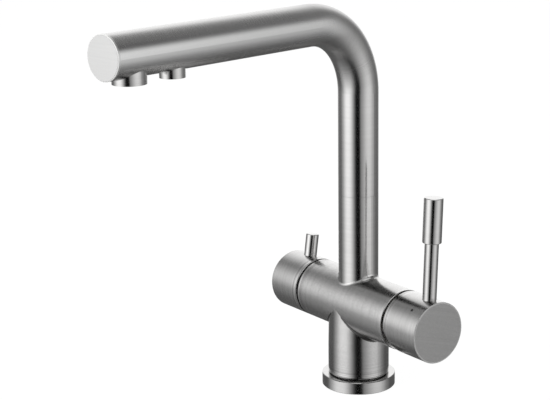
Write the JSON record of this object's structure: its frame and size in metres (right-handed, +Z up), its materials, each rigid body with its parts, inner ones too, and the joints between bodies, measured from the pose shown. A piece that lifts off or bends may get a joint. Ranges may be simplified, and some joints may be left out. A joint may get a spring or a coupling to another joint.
{
  "type": "kitchen mixer tap with filtered water outlet",
  "caption": "Deck-mounted kitchen tap with a horizontal cross body, a mixer lever on one end, a filter knob on the other, and a swivelling L-shaped spout with separate outlets.",
  "frame": {"origin": "centre of the foot on the worktop, at the mouth of the fixing stud's hole", "axes": "+Z up, +X along the cross body towards the mixer lever, so a user at -Y has the lever on the right; the spout points to -Y, turned 11 degrees towards +X at rest"},
  "size_m": [0.1733, 0.2673, 0.2951],
  "materials": {
    "steel": "brushed satin",
    "brass": "turned",
    "rubber": "matt",
    "white_plastic": "moulded acetal",
    "grey_plastic": "moulded acetal",
    "ceramic": "lapped ceramic"
  },
  "bodies": {
    "tap_body": {"body": "steel", "riser_weld": "steel", "pedestal_welds": "steel", "base_flange": "steel", "deck_seal": "rubber", "inlet_block": "brass", "inlet_seals": "rubber", "swivel_spigot": "brass", "swivel_o_rings": "rubber", "glide_ring": "white_plastic", "spout_clip": "steel", "gland_o_ring": "rubber", "cartridge_housing": "white_plastic", "cartridge_base": "grey_plastic", "cartridge_port_seals": "rubber", "fixed_ceramic_disc": "ceramic", "cartridge_nut": "brass", "filter_valve_body": "brass", "filter_seat_seal": "rubber", "filter_fixed_disc": "ceramic", "filter_valve_o_ring": "rubber"},
    "spout": {"spout_tube": "steel", "spout_end_cap": "steel", "spout_sleeve": "brass", "main_outlet_collar": "steel", "aerator_housing": "white_plastic", "aerator_honeycomb": "grey_plastic", "aerator_strainer": "steel", "aerator_seal": "rubber", "filter_outlet_collar": "steel", "filter_nozzle": "grey_plastic", "filter_nozzle_seal": "rubber", "filter_elbow": "white_plastic", "filter_tube": "white_plastic"},
    "mixer_rotor": {"cartridge_rotor": "white_plastic", "pivot_pin": "steel"},
    "mixer_lever": {"lever_bar": "brass", "mixer_cap": "steel", "lever_stem": "steel", "lever_grip": "steel", "mixer_grub_screw": "steel", "index_dot": "grey_plastic"},
    "mixer_disc": {"disc_driver": "grey_plastic", "sliding_ceramic_disc": "ceramic"},
    "filter_control": {"filter_spindle": "brass", "filter_turning_disc": "ceramic", "spindle_clip": "steel", "filter_knob": "steel", "filter_pin": "steel", "filter_grub_screw": "steel"}
  },
  "joints": [
    {"name": "spout_swivel", "type": "hinge", "parent": "tap_body", "child": "spout", "pos_m": [0, 0, 0.15], "axis": [0, 0, 1], "continuous": true},
    {"name": "mixer_turn", "type": "hinge", "parent": "tap_body", "child": "mixer_rotor", "pos_m": [0.045, 0, 0.0641], "axis": [1, 0, 0], "range_deg": [-42.6, 47.4]},
    {"name": "lever_tilt", "type": "hinge", "parent": "mixer_rotor", "child": "mixer_lever", "pos_m": [0.045, 0, 0.0641], "axis": [0, 0.9991, -0.0419], "range_deg": [0, 20]},
    {"name": "disc_slide", "type": "slide", "parent": "mixer_rotor", "child": "mixer_disc", "axis": [0, 0.0419, 0.9991], "range_m": [0, 0.0036]},
    {"name": "filter_turn", "type": "hinge", "parent": "tap_body", "child": "filter_control", "pos_m": [-0.05, 0, 0.0641], "axis": [1, 0, 0], "range_deg": [0, 90]}
  ],
  "couplings": [
    {"joint": "disc_slide", "follows": "lever_tilt", "m_per_rad": 0.01}
  ]
}
